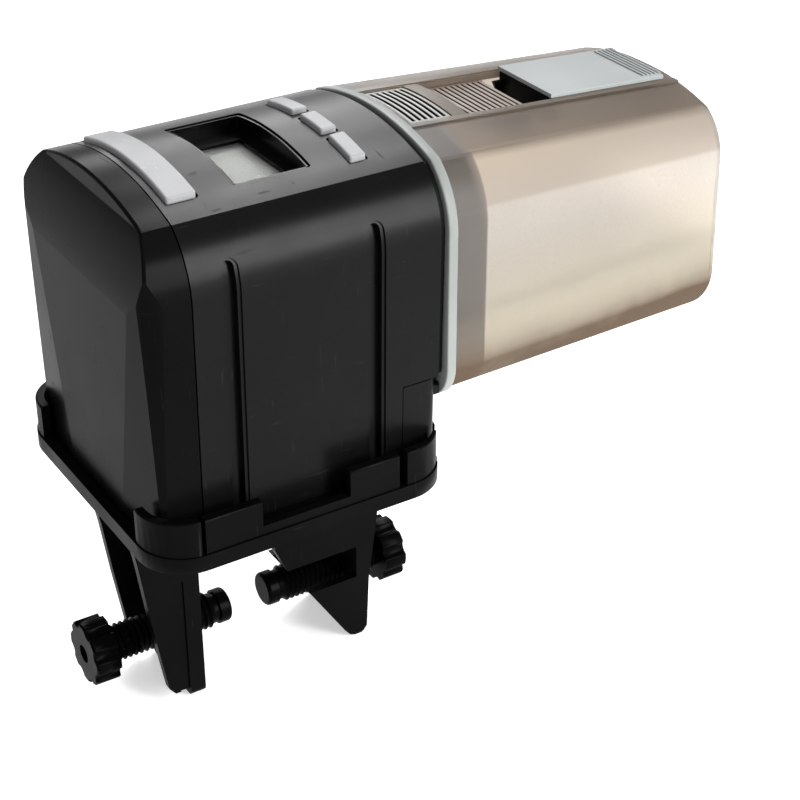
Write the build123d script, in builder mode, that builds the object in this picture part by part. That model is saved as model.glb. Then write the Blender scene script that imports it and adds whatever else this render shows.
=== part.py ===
"""Automatic fish feeder: a battery-powered housing that snaps into a clamp bracket and turns a food drum.

Frame: +X along the drum, towards its free end. +Z up. The origin is the centre of the bracket's underside,
which rests on the rim of the tank. All lengths are in millimetres.
"""
from build123d import *
from math import acos, cos, pi, radians, sin, sqrt, tan
import os

os.makedirs("parts", exist_ok=True)

# ---------------------------------------------------------------- bracket
tray_back = -40.3
tray_front = 38.8
tray_width = 79.2
tray_corner = 12.0
tray_floor = 2.4
band_top = 4.1            # top of the plinth band that runs round the tray
wall_inset = 0.4          # the walls stand this far inside the band
tray_wall = 2.2
end_opening_half = 26.4   # the end walls are low between the corner walls
wall_top = 13.2
low_wall_top = 6.5
foot_bottom = -59.3
screw_z = -43.2           # height of the two clamp screws' shared axis

# ---------------------------------------------------------------- housing
body_back = -37.3
body_back_top = -32.9
rear_corner = 6.0
facet_y = 25.6            # a shallow facet beside each rear corner leaves the rear face here at facet_z
facet_z = 62.4
facet_normal = (0.9753, 0.0854, 0.0176)
cap_split = -25.6
body_front = 37.4
body_bottom = 2.7
top_edge_y = 26.0         # sharp edge between the arched deck and each side
top_edge_z = 79.8
crown_z = 84.2
shoulder_y = 33.9
shoulder_z = 62.7
side_foot_y = 32.8        # half width at the bottom
edge_radius = 0.7         # rounding of the deck's long edges
seam_gap = 0.35           # open joint line between the rear cap and the housing
wall = 2.0
cover_split_x = 27.4
cover_top = 27.4

# ---------------------------------------------------------------- drum and drive
axis_z = 50.0
ring_back = 39.3
ring_front = 41.7
shell_back = ring_front + 0.1
sleeve_front = 49.1
drum_end = 123.4
drum_crown = 83.3         # crown height beside the ring
drum_fall = 5.0           # how far the crown falls towards the free end
drum_bottom = 18.4
ring_bottom = 18.2
ring_half = 34.2
drum_wall = 1.8
mouth_back = 59.6
mouth_front = 85.2        # the slider covers the last of the mouth even when fully open
mouth_half_width = 11.2
gear_module = 0.6
backlash = 0.14
output_teeth = 50
pinion_teeth = 12
wheel_teeth = 40
front_layer = 29.4        # output gear and compound pinion
rear_layer = 25.0         # compound wheel and motor pinion
gear_width = 3.6
compound_angle = 25.0     # direction from the output axis to the compound axis
motor_angle = 165.0       # direction from the compound axis to the motor axis

# ---------------------------------------------------------------- clamp screws
thread_major = 4.8
thread_minor = 4.05
thread_pitch = 1.5
knob_radius = 8.4
knob_thickness = 6.5
screw_length = 39.6
pad_length = 3.2
left_tip = -5.8
right_tip = 4.9


def save(piece, name):
    """Label one finished piece and write it to its own file."""
    piece.label = name
    export_step(piece, f"parts/{name}.step")


# ================================================================ shared outlines
def body_outline(inset=0.0, bottom=body_bottom):
    """The housing's cross-section, looking along X: arched deck, bulging shoulders, nearly flat sides."""
    with BuildSketch() as outline:
        with BuildLine():
            ThreePointArc((-top_edge_y, top_edge_z), (0, crown_z), (top_edge_y, top_edge_z))
            ThreePointArc((top_edge_y, top_edge_z), (31.9, 72.6), (shoulder_y, shoulder_z))
            Line((shoulder_y, shoulder_z), (side_foot_y, bottom))
            Line((side_foot_y, bottom), (-side_foot_y, bottom))
            Line((-side_foot_y, bottom), (-shoulder_y, shoulder_z))
            ThreePointArc((-shoulder_y, shoulder_z), (-31.9, 72.6), (-top_edge_y, top_edge_z))
        make_face()
        if inset:
            offset(amount=-inset, kind=Kind.INTERSECTION)
        else:
            fillet(outline.vertices().group_by(Axis.Y)[-1], edge_radius)
    return outline.sketch


def drum_outline(x, inset=0.0):
    """The drum's cross-section at x. The top slopes down and the sides close in towards the free end."""
    reach = (x - ring_front) / (drum_end - ring_front)
    edge_y = 25.9 - 1.6 * reach
    edge_z = 79.6 - drum_fall * reach
    top_z = drum_crown - drum_fall * reach
    shoulder = (31.7 - 1.9 * reach, 72.4 - 4.0 * reach)
    side_top = (33.6 - 2.3 * reach, 62.4 - 1.6 * reach)
    side_low = (33.4 - 1.3 * reach, drum_bottom + 10.8 + 2.6 * reach)
    corner = side_low[1] - drum_bottom
    slant = corner * (1 - sqrt(0.5))
    with BuildSketch() as outline:
        with BuildLine():
            ThreePointArc((-edge_y, edge_z), (0, top_z), (edge_y, edge_z))
            for side in (1, -1):
                ThreePointArc(
                    (side * edge_y, edge_z),
                    (side * shoulder[0], shoulder[1]),
                    (side * side_top[0], side_top[1]),
                )
                Line((side * side_top[0], side_top[1]), (side * side_low[0], side_low[1]))
                ThreePointArc(
                    (side * side_low[0], side_low[1]),
                    (side * (side_low[0] - slant), drum_bottom + slant),
                    (side * (side_low[0] - corner), drum_bottom),
                )
            Line((side_low[0] - corner, drum_bottom), (corner - side_low[0], drum_bottom))
        make_face()
        if inset:
            offset(amount=-inset, kind=Kind.INTERSECTION)
    return outline.sketch


def ring_outline(inset=0.0):
    """The collar ring's cross-section: the housing's own arch and shoulders above two round lower corners."""
    corner = 10.6
    slant = corner * (1 - sqrt(0.5))
    with BuildSketch() as outline:
        with BuildLine():
            ThreePointArc((-top_edge_y, top_edge_z), (0, crown_z), (top_edge_y, top_edge_z))
            for side in (1, -1):
                ThreePointArc(
                    (side * top_edge_y, top_edge_z), (side * 32.1, 72.6), (side * ring_half, shoulder_z)
                )
                Line((side * ring_half, shoulder_z), (side * ring_half, ring_bottom + corner))
                ThreePointArc(
                    (side * ring_half, ring_bottom + corner),
                    (side * (ring_half - slant), ring_bottom + slant),
                    (side * (ring_half - corner), ring_bottom),
                )
            Line((ring_half - corner, ring_bottom), (corner - ring_half, ring_bottom))
        make_face()
        if inset:
            offset(amount=-inset, kind=Kind.INTERSECTION)
    return outline.sketch


def crown_band(x_start, x_end, above, below):
    """A slab that follows the arched deck, from `below` under its surface to `above` over it."""
    with BuildPart() as band:
        with BuildSketch(Plane.YZ.offset(x_start)):
            with BuildLine():
                ThreePointArc(
                    (-top_edge_y, top_edge_z + above), (0, crown_z + above), (top_edge_y, top_edge_z + above)
                )
                Line((top_edge_y, top_edge_z + above), (top_edge_y, top_edge_z - below))
                ThreePointArc(
                    (top_edge_y, top_edge_z - below), (0, crown_z - below), (-top_edge_y, top_edge_z - below)
                )
                Line((-top_edge_y, top_edge_z - below), (-top_edge_y, top_edge_z + above))
            make_face()
        extrude(amount=x_end - x_start)
    return band.part


# ================================================================ bracket
def screw_bore(x_start, length):
    """The bore that a clamp screw runs in."""
    with BuildPart() as bore:
        with BuildSketch(Plane.YZ.offset(x_start)):
            with Locations((0, screw_z)):
                Circle(thread_major + 0.08)
        extrude(amount=length)
    return bore.part


seat_back = tray_back + wall_inset + tray_wall
seat_front = body_front + 0.4
seat_half = tray_width / 2 - wall_inset - tray_wall
tray_mid = (tray_back + tray_front) / 2
left_jaw_front = -18.0
left_jaw_back = -22.0
foot_half = 11.3
flange_thickness = 2.2
gusset_thickness = 2.4
right_jaw_back = 27.5
right_jaw_mid = 30.4
gusset_slot = (-40.6, -31.2)   # bottom and top of the opening in each gusset, beside the screw


def tray_rectangle(inset):
    """The tray's plan, drawn smaller all round by inset."""
    with BuildSketch() as plan:
        with Locations((tray_mid, 0)):
            RectangleRounded(tray_front - tray_back - 2 * inset, tray_width - 2 * inset, tray_corner - inset)
    return plan.sketch


tab_spans = [(-28.4, -13.9), (9.3, 22.8)]
slit_spans = [(-29.4, -28.4), (22.8, 25.0)]

with BuildPart() as bracket:
    # Plinth band and floor
    with BuildSketch():
        add(tray_rectangle(0))
    extrude(amount=band_top)
    # Wall all the way round at full height, cut down below
    with BuildSketch(Plane.XY.offset(band_top)):
        add(tray_rectangle(wall_inset))
    extrude(amount=wall_top - band_top)
    fillet(bracket.edges().group_by(Axis.Z)[-1], 0.5)
    # The hollow that takes the housing
    with BuildSketch(Plane.XY.offset(tray_floor)):
        with Locations(((seat_back + seat_front) / 2, 0)):
            RectangleRounded(seat_front - seat_back, 2 * seat_half, tray_corner - wall_inset - tray_wall)
        with Locations((seat_front - 10, 0)):
            Rectangle(20, 2 * shoulder_y)
    extrude(amount=wall_top, mode=Mode.SUBTRACT)
    # Long walls are low between the snap tabs
    low_back = tab_spans[0][1]
    low_front = tab_spans[1][0]
    with BuildSketch(Plane.XY.offset(low_wall_top)):
        with Locations(((low_back + low_front) / 2, 0)):
            Rectangle(low_front - low_back, tray_width + 2)
    extrude(amount=wall_top, mode=Mode.SUBTRACT)
    # End walls are open between the corners
    with BuildSketch(Plane.XY.offset(band_top)):
        with Locations((tray_mid, 0)):
            Rectangle(tray_width * 2, 2 * end_opening_half)
    extrude(amount=wall_top, mode=Mode.SUBTRACT)
    # Slits that free each snap tab from the corner wall beside it
    with BuildSketch(Plane.XY.offset(band_top)):
        for slit_back, slit_front in slit_spans:
            with Locations(((slit_back + slit_front) / 2, 0)):
                Rectangle(slit_front - slit_back, tray_width + 2)
    extrude(amount=wall_top, mode=Mode.SUBTRACT)
    # Inward barbs of the four snap tabs
    for tab_back, tab_front in tab_spans:
        with BuildSketch(Plane.YZ.offset((tab_back + tab_front) / 2 - 2.5)):
            for side in (1, -1):
                with BuildLine():
                    Polyline(
                        (side * (seat_half + 0.6), 6.0),
                        (side * 33.3, 9.6),
                        (side * 33.3, 10.4),
                        (side * (seat_half + 0.6), 12.4),
                        close=True,
                    )
                make_face()
        extrude(amount=5.0)
    # Low rails that keep the housing's foot in the middle
    with BuildSketch(Plane.XY.offset(tray_floor - 0.2)):
        with Locations((0, 33.9), (0, -33.9)):
            Rectangle(56, 1.4)
    extrude(amount=2.6)
    # Left foot: jaw plate and two tapered flanges on its outer side
    with BuildSketch(Plane.YZ.offset(left_jaw_back)):
        with Locations((0, (0.5 + foot_bottom) / 2)):
            Rectangle(2 * foot_half, 0.5 - foot_bottom)
        fillet(vertices().group_by(Axis.Y)[0], 2.0)
    extrude(amount=left_jaw_front - left_jaw_back)
    for side in (1, -1):
        flange_middle = side * (foot_half - flange_thickness / 2)
        with BuildSketch(Plane.XZ.offset(flange_middle - flange_thickness / 2)):
            with BuildLine():
                Polyline(
                    (-36.4, 0.5),
                    (-33.9, -14.0),
                    (-31.8, -30.0),
                    (-29.7, -44.0),
                    (-28.0, -54.3),
                    (-26.4, -56.4),
                    (left_jaw_back + 1.0, -56.6),
                    (left_jaw_back + 1.0, 0.5),
                    close=True,
                )
            make_face()
        extrude(amount=flange_thickness)
        # Shallow recess down the flange's outer face, beside the jaw
        recess_middle = side * foot_half
        with BuildSketch(Plane.XZ.offset(recess_middle - 0.5)):
            with Locations((left_jaw_back - 1.6, -40.0)):
                Rectangle(2.6, 34.0)
        extrude(amount=1.0, mode=Mode.SUBTRACT)
    # Right foot: jaw plate that thins downwards, and two gussets on its inner side
    with BuildSketch(Plane.XZ.offset(-foot_half)):
        with BuildLine():
            Polyline(
                (right_jaw_back, 0.5),
                (37.2, 0.5),
                (36.8, 0.0),
                (33.3, -24.0),
                (30.8, -42.0),
                (30.0, -57.6),
                (28.9, -59.0),
                (right_jaw_back, foot_bottom),
                close=True,
            )
        make_face()
    extrude(amount=2 * foot_half)
    with BuildSketch(Plane.XZ.offset(-foot_half + gusset_thickness)):
        with BuildLine():
            Polyline((right_jaw_mid, 0), (42.0, 0), (42.0, -70.0), (right_jaw_mid, -70.0), close=True)
        make_face()
    extrude(amount=2 * (foot_half - gusset_thickness), mode=Mode.SUBTRACT)
    for side in (1, -1):
        gusset_middle = side * (foot_half - gusset_thickness / 2)
        with BuildSketch(Plane.XZ.offset(gusset_middle - gusset_thickness / 2)):
            with BuildLine():
                Polyline(
                    (1.8, 0.5),
                    (1.8, 0.0),
                    (3.5, -24.0),
                    (7.4, -32.5),
                    (12.6, -40.0),
                    (23.3, -56.8),
                    (24.8, -58.7),
                    (26.4, foot_bottom),
                    (right_jaw_back + 1.0, foot_bottom),
                    (right_jaw_back + 1.0, 0.5),
                    close=True,
                )
            make_face()
            with Locations((right_jaw_back - 40.5, sum(gusset_slot) / 2)):
                Rectangle(80, gusset_slot[1] - gusset_slot[0], mode=Mode.SUBTRACT)
        extrude(amount=gusset_thickness)
    # The two bores that the clamp screws run in
    add(screw_bore(left_jaw_back - 12, 18), mode=Mode.SUBTRACT)
    add(screw_bore(right_jaw_back - 1, 12), mode=Mode.SUBTRACT)
save(bracket.part, "bracket")


# ================================================================ clamp screws
def clamp_screw(tip_x, direction):
    """A thumb screw along X. `direction` is +1 when its tip points to +X."""
    knob_face = tip_x - direction * screw_length
    knob_back = knob_face + direction * knob_thickness
    thread_end = tip_x - direction * pad_length
    turns = int((abs(thread_end - knob_back) - 2.0) / thread_pitch)
    with BuildPart() as screw:
        with BuildSketch(Plane.XZ):
            with BuildLine():
                start = knob_back - direction * 1.0
                points = [(start, 0), (start, thread_minor), (knob_back + direction * 0.8, thread_minor)]
                for turn in range(turns):
                    foot = knob_back + direction * (1.0 + turn * thread_pitch)
                    points.append((foot, thread_minor))
                    points.append((foot + direction * 0.5 * thread_pitch, thread_major))
                points.append((knob_back + direction * (1.0 + turns * thread_pitch), thread_minor))
                points.append((thread_end - direction * 0.05, thread_minor - 0.2))
                points.append((thread_end - direction * 0.05, 0))
                Polyline(*points, close=True)
            make_face()
        revolve(axis=Axis.X)
        with BuildSketch(Plane.YZ.offset(min(knob_face, knob_back))):
            Circle(knob_radius)
            with PolarLocations(knob_radius + 0.9, 8, start_angle=22.5):
                Circle(1.9, mode=Mode.SUBTRACT)
            fillet(vertices(), 0.5)
        extrude(amount=knob_thickness)
        chamfer(screw.edges().filter_by_position(Axis.X, knob_face - 0.01, knob_face + 0.01), 0.5)
        with BuildSketch(Plane.YZ.offset(min(knob_face, knob_face + direction * 3.0))):
            Circle(2.4)
        extrude(amount=3.0, mode=Mode.SUBTRACT)
        # Ball end that the pad snaps over
        with BuildSketch(Plane.YZ.offset(min(thread_end - direction * 0.1, thread_end + direction * 1.4))):
            Circle(1.6)
        extrude(amount=1.5)
    return screw.part.moved(Location((0, 0, screw_z)))


def clamp_pad(tip_x, direction):
    """The smooth foot on a clamp screw's tip: it presses on the glass and doesn't turn."""
    with BuildPart() as pad:
        with BuildSketch(Plane.YZ.offset(min(tip_x, tip_x - direction * pad_length))):
            Circle(4.5)
        extrude(amount=pad_length)
        fillet(pad.edges().filter_by_position(Axis.X, tip_x - 0.01, tip_x + 0.01), 0.9)
        socket_ends = (tip_x - direction * 1.2, tip_x - direction * (pad_length + 0.1))
        with BuildSketch(Plane.YZ.offset(min(socket_ends))):
            Circle(1.66)
        extrude(amount=pad_length - 1.1, mode=Mode.SUBTRACT)
    return pad.part.moved(Location((0, 0, screw_z)))


save(clamp_screw(left_tip, 1), "clamp_screw_left")
save(clamp_pad(left_tip, 1), "clamp_pad_left")
save(clamp_screw(right_tip, -1), "clamp_screw_right")
save(clamp_pad(right_tip, -1), "clamp_pad_right")

# ================================================================ housing shell
window_x = (-7.3, 12.4)
window_y = (-19.1, 15.3)
feed_button_x = (-23.6, -16.3)
feed_button_y = (-19.5, 24.0)
small_buttons = {
    "set_button": (22.9, 10.9, 12.2),
    "plus_button": (23.1, -3.4, 9.9),
    "mode_button": (23.4, -15.8, 9.9),
}
small_button_width = 4.2
button_gap = 0.45
board_top = 74.2
board_thickness = 1.6
board_posts = [(-11.4, 23.4), (-11.4, -23.4), (16.5, 23.4), (16.5, -23.4)]
low_bosses = [(28.4, 31.0), (-28.4, 31.0)]
high_bosses = [(25.6, 72.0), (-25.6, 72.0)]
bulkhead_screws = low_bosses + high_bosses
boss_length = 8.0


groove_places = [(-16.3, 71.6), (20.2, 71.2)]   # x of each groove and the height of its upper end
groove_depth = 2.2
groove_half = 1.5
groove_lip_depth = 0.45
groove_lip_half = 2.4


def side_groove(x, top, half_width, depth):
    """One vertical channel in each side of the housing, with a rounded upper end."""
    with BuildPart() as groove:
        with BuildSketch(Plane.XZ.offset(-40)):
            with BuildLine():
                Line((x - half_width - 0.2, 0), (x - half_width, top - half_width))
                ThreePointArc((x - half_width, top - half_width), (x, top), (x + half_width, top - half_width))
                Line((x + half_width, top - half_width), (x + half_width + 0.2, 0))
                Line((x + half_width + 0.2, 0), (x - half_width - 0.2, 0))
            make_face()
        extrude(amount=80)
        with BuildSketch(Plane.YZ.offset(x - 4)):
            add(body_outline(inset=depth))
        extrude(amount=8, mode=Mode.SUBTRACT)
    return groove.part


def groove_rib(x):
    """The thickening inside each side wall that keeps it whole behind a groove."""
    with BuildPart() as rib:
        with BuildSketch(Plane.YZ.offset(x - groove_half - wall)):
            add(body_outline(inset=wall - 0.2))
            add(body_outline(inset=wall + groove_depth - 0.6), mode=Mode.SUBTRACT)
            with Locations((0, crown_z)):
                Rectangle(80, 2 * (crown_z - 74), mode=Mode.SUBTRACT)
            Rectangle(80, 2 * (body_bottom + wall + groove_depth), mode=Mode.SUBTRACT)
        extrude(amount=2 * (groove_half + wall))
    return rib.part


with BuildPart() as main_housing:
    with BuildSketch(Plane.YZ.offset(cap_split)):
        add(body_outline())
    extrude(amount=body_front - cap_split)
    with BuildSketch(Plane.YZ.offset(cap_split)):
        add(body_outline(inset=wall))
    extrude(amount=body_front - cap_split, mode=Mode.SUBTRACT)
    for groove_x, groove_top in groove_places:
        add(groove_rib(groove_x))
        add(side_groove(groove_x, groove_top, groove_half, groove_depth), mode=Mode.SUBTRACT)
        add(side_groove(groove_x, groove_top + 0.7, groove_lip_half, groove_lip_depth), mode=Mode.SUBTRACT)
    # Opening for the battery cover at the lower front
    with BuildSketch(Plane.XY):
        with Locations(((cover_split_x + body_front + 1) / 2, 0)):
            Rectangle(body_front + 1 - cover_split_x, tray_width)
    extrude(amount=cover_top, mode=Mode.SUBTRACT)
    # Display window
    with BuildSketch(Plane.XY.offset(70)):
        with Locations((sum(window_x) / 2, sum(window_y) / 2)):
            RectangleRounded(window_x[1] - window_x[0], window_y[1] - window_y[0], 0.8)
    extrude(amount=20, mode=Mode.SUBTRACT)
    # Button slots
    with BuildSketch(Plane.XY.offset(70)):
        with Locations((sum(feed_button_x) / 2, sum(feed_button_y) / 2)):
            RectangleRounded(
                feed_button_x[1] - feed_button_x[0] + 2 * button_gap,
                feed_button_y[1] - feed_button_y[0] + 2 * button_gap,
                0.9,
            )
        for button_x, button_y, button_length in small_buttons.values():
            with Locations((button_x, button_y)):
                RectangleRounded(small_button_width + 2 * button_gap, button_length + 2 * button_gap, 0.7)
    extrude(amount=20, mode=Mode.SUBTRACT)
    # Posts for the circuit board
    with BuildSketch(Plane.XY.offset(board_top + 0.05)):
        with Locations(*board_posts):
            Circle(1.8)
    extrude(amount=crown_z - 4.4 - board_top)
    with BuildSketch(Plane.XY.offset(board_top)):
        with Locations(*board_posts):
            Circle(0.85)
    extrude(amount=3.0, mode=Mode.SUBTRACT)
    # Bosses for the bulkhead's screws; the upper pair is webbed to the side walls
    with BuildSketch(Plane.YZ.offset(body_front - wall - boss_length)):
        with Locations(*bulkhead_screws):
            Circle(3.2)
        for y, z in high_bosses:
            with Locations((y + (3.4 if y > 0 else -3.4), z)):
                Rectangle(4.4, 3.0)
    extrude(amount=boss_length - 0.05)
    with BuildSketch(Plane.YZ.offset(body_front - wall - boss_length)):
        with Locations(*bulkhead_screws):
            Circle(1.05)
    extrude(amount=boss_length, mode=Mode.SUBTRACT)
save(main_housing.part, "main_housing")


# ================================================================ rear cap
def cap_blank(inset, front):
    """The rear cap's outer form, or its hollow when inset: a bulging end between two rounded corners."""
    with BuildPart() as blank:
        with BuildSketch(Plane.YZ.offset(body_back - 2)):
            add(body_outline(inset=inset))
        extrude(amount=front - body_back + 2)
        with BuildSketch(Plane.XZ.offset(-45)):
            with BuildLine():
                back = body_back + inset
                ThreePointArc((body_back_top + inset, 80), (back + 0.9, 69), (back, 57))
                Polyline(
                    (back, 57), (back, 0), (front, 0), (front, 90), (body_back_top + inset, 90),
                    (body_back_top + inset, 80),
                )
            make_face()
        extrude(amount=90, mode=Mode.INTERSECT)
        with BuildSketch(Plane.XY.offset(-1)):
            with Locations(((body_back + inset + 40) / 2, 0)):
                RectangleRounded(40 - body_back - inset, 68 - 2 * inset, rear_corner - inset * 0.6)
        extrude(amount=90, mode=Mode.INTERSECT)
        # Shallow facets that widen downwards from the deck's corners
        for side in (1, -1):
            outwards = (-facet_normal[0], side * facet_normal[1], -facet_normal[2])
            facet = Plane(origin=(body_back, side * facet_y, facet_z), z_dir=outwards)
            with BuildSketch(facet.offset(-inset)):
                Rectangle(300, 300)
            extrude(amount=30, mode=Mode.SUBTRACT)
        if not inset:
            crest = blank.edges().filter_by(lambda edge: edge.center().X < -30 and edge.center().Z > 75)
            fillet(crest, edge_radius)
    return blank.part


with BuildPart() as rear_cap:
    add(cap_blank(0, cap_split - seam_gap))
    add(cap_blank(wall, cap_split + 1), mode=Mode.SUBTRACT)
    # Lip that plugs into the housing
    with BuildSketch(Plane.YZ.offset(cap_split - 2.0)):
        add(body_outline(inset=wall - 0.4))
        add(body_outline(inset=wall + 1.2), mode=Mode.SUBTRACT)
        Rectangle(40, 20, mode=Mode.SUBTRACT)
    extrude(amount=1.95)
    with BuildSketch(Plane.YZ.offset(cap_split - 0.05)):
        add(body_outline(inset=wall + 0.1))
        add(body_outline(inset=wall + 1.2), mode=Mode.SUBTRACT)
        Rectangle(40, 20, mode=Mode.SUBTRACT)
    extrude(amount=0.85)
save(rear_cap.part, "rear_cap")

# ================================================================ bulkhead and battery cover
compound_y = (output_teeth + pinion_teeth) / 2 * gear_module * cos(radians(compound_angle))
compound_z = axis_z + (output_teeth + pinion_teeth) / 2 * gear_module * sin(radians(compound_angle))
motor_y = compound_y + (wheel_teeth + pinion_teeth) / 2 * gear_module * cos(radians(motor_angle))
motor_z = compound_z + (wheel_teeth + pinion_teeth) / 2 * gear_module * sin(radians(motor_angle))
shaft_radius = 3.0
neck_front = 38.95        # just short of the drum's collar, which turns beside it

with BuildPart() as front_bulkhead:
    with BuildSketch(Plane.YZ.offset(body_front - wall)):
        add(body_outline(inset=wall + 0.1))
        with Locations((0, cover_top / 2)):
            Rectangle(80, cover_top + 0.4, mode=Mode.SUBTRACT)
        with Locations((0, axis_z)):
            Circle(5.0, mode=Mode.SUBTRACT)
    extrude(amount=wall)
    with Locations(*[Location((body_front, y, z), (0, 90, 0)) for y, z in bulkhead_screws]):
        CounterSinkHole(radius=1.4, counter_sink_radius=2.5, depth=wall)
    # Recessed neck that fills most of the gap behind the drum's collar
    with BuildSketch(Plane.YZ.offset(body_front)):
        add(body_outline(inset=1.1))
        add(body_outline(inset=wall + 2.6), mode=Mode.SUBTRACT)
        with Locations((0, cover_top / 2)):
            Rectangle(80, cover_top + 0.4, mode=Mode.SUBTRACT)
        with Locations(*bulkhead_screws):
            Circle(2.9, mode=Mode.SUBTRACT)
    extrude(amount=neck_front - body_front)
    # Raised ring that shields the drive hub from crumbs
    with BuildSketch(Plane.YZ.offset(body_front)):
        with Locations((0, axis_z)):
            Circle(14.0)
            Circle(12.6, mode=Mode.SUBTRACT)
    extrude(amount=0.8)
save(front_bulkhead.part, "front_bulkhead")

with BuildPart() as battery_cover:
    with BuildSketch(Plane.YZ.offset(cover_split_x + 0.2)):
        add(body_outline())
    extrude(amount=body_front - cover_split_x - 0.2)
    with BuildSketch(Plane.YZ.offset(cover_split_x)):
        add(body_outline(inset=wall))
    extrude(amount=body_front - wall - cover_split_x, mode=Mode.SUBTRACT)
    with BuildSketch(Plane.XY.offset(cover_top - 0.3)):
        Rectangle(120, 90)
    extrude(amount=70, mode=Mode.SUBTRACT)
    front_edges = battery_cover.edges().filter_by_position(Axis.X, body_front - 0.01, body_front + 0.01)
    fillet([front_edges.sort_by(Axis.Y)[0], front_edges.sort_by(Axis.Y)[-1]], 3.0)
    # Latch nibs that stop the cover sliding forwards
    with BuildSketch(Plane.YZ.offset(body_front - 0.2)):
        with Locations((-29.6, 22.4), (29.6, 22.4)):
            RectangleRounded(3.2, 3.0, 0.6)
    extrude(amount=1.7)
    # Finger grip on the front face
    with BuildSketch(Plane.YZ.offset(body_front)):
        with GridLocations(0, 1.6, 1, 5):
            with Locations((0, 15)):
                SlotOverall(14, 0.8)
    extrude(amount=-0.5, mode=Mode.SUBTRACT)
save(battery_cover.part, "battery_cover")

screw_face = body_front - 0.15
cone_depth = 1.25
with BuildPart() as bulkhead_screw_set:
    for y, z in bulkhead_screws:
        with BuildSketch(Plane.YZ.offset(screw_face)):
            with Locations((y, z)):
                Circle(2.25)
        with BuildSketch(Plane.YZ.offset(screw_face - cone_depth)):
            with Locations((y, z)):
                Circle(1.0)
        loft()
        with BuildSketch(Plane.YZ.offset(screw_face - cone_depth)):
            with Locations((y, z)):
                Circle(1.0)
        extrude(amount=-7.0)
        with BuildSketch(Plane.YZ.offset(screw_face)):
            with Locations((y, z)):
                Rectangle(2.6, 0.5)
                Rectangle(0.5, 2.6)
        extrude(amount=-0.7, mode=Mode.SUBTRACT)
save(bulkhead_screw_set.part, "bulkhead_screws")

# ================================================================ display and buttons
lens_top = 78.3
window_centre = (sum(window_x) / 2, sum(window_y) / 2)
window_length = window_x[1] - window_x[0]
window_width = window_y[1] - window_y[0]
with BuildPart() as display_bezel:
    # Straight-sided well between the deck's window and the display below it
    with BuildSketch(Plane.XY.offset(90)):
        with Locations(window_centre):
            RectangleRounded(window_length - 0.3, window_width - 0.3, 0.7)
    extrude(amount=-(90 - lens_top + 2.6))
    add(crown_band(-20, 25, 10, 0.4), mode=Mode.SUBTRACT)
    with BuildSketch(Plane.XY.offset(lens_top + 0.7)):
        with Locations(window_centre):
            RectangleRounded(window_length - 1.9, window_width - 1.9, 0.6)
    extrude(amount=12, mode=Mode.SUBTRACT)
    # The display shows through this opening in the well's floor
    with BuildSketch(Plane.XY.offset(lens_top - 3)):
        with Locations(window_centre):
            RectangleRounded(13.4, 21.8, 0.8)
    extrude(amount=6, mode=Mode.SUBTRACT)
    with BuildSketch(Plane.XY.offset(lens_top - 3)):
        with Locations(window_centre):
            RectangleRounded(15.6, 28.4, 1.0)
    extrude(amount=3.0, mode=Mode.SUBTRACT)
save(display_bezel.part, "display_bezel")

with BuildPart() as display_window:
    with BuildSketch(Plane.XY.offset(lens_top - 1.0)):
        with Locations(window_centre):
            RectangleRounded(15.4, 28.2, 0.9)
    extrude(amount=0.95)
save(display_window.part, "display_window")

with BuildPart() as lcd_module:
    with BuildSketch(Plane.XY.offset(board_top + 0.02)):
        with Locations(window_centre):
            Rectangle(15.0, 28.0)
    extrude(amount=2.0)
    with BuildSketch(Plane.XY.offset(board_top + 2.02)):
        with Locations(window_centre):
            Rectangle(14.4, 27.6)
    extrude(amount=0.9)
save(lcd_module.part, "lcd_module")

button_travel = 0.8
switch_height = 2.4


def push_button(x, y, size_x, size_y, corner):
    """A cap that follows the deck's arch, a flange that keeps it in its slot, and a stem above its switch."""
    with BuildPart() as cap:
        with BuildSketch(Plane.XY.offset(90)):
            with Locations((x, y)):
                RectangleRounded(size_x, size_y, corner)
        extrude(amount=-15)
        add(crown_band(x - size_x, x + size_x, 1.2, wall + 0.6), mode=Mode.INTERSECT)
        top_faces = cap.faces().sort_by(Axis.Z)[-1]
        fillet(top_faces.edges(), 0.5)
    with BuildPart() as flange:
        with BuildSketch(Plane.XY.offset(90)):
            with Locations((x, y)):
                RectangleRounded(size_x + 1.4, size_y + 1.4, corner)
        extrude(amount=-16)
        add(crown_band(x - size_x, x + size_x, -wall - 0.12, wall + 0.9), mode=Mode.INTERSECT)
    with BuildPart() as stem:
        with BuildSketch(Plane.XY.offset(board_top + switch_height + 0.1)):
            with Locations((x, y)):
                Circle(1.2)
        extrude(amount=20)
        add(crown_band(x - 3, x + 3, 0.3, 14), mode=Mode.INTERSECT)
    with BuildPart() as button:
        add(cap.part)
        add(flange.part)
        add(stem.part)
    return button.part


feed_x = sum(feed_button_x) / 2
feed_y = sum(feed_button_y) / 2
feed_size_x = feed_button_x[1] - feed_button_x[0]
feed_size_y = feed_button_y[1] - feed_button_y[0]
save(push_button(feed_x, feed_y, feed_size_x, feed_size_y, 0.8), "feed_button")
for button_name, (button_x, button_y, button_length) in small_buttons.items():
    save(push_button(button_x, button_y, small_button_width, button_length, 0.6), button_name)

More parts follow.
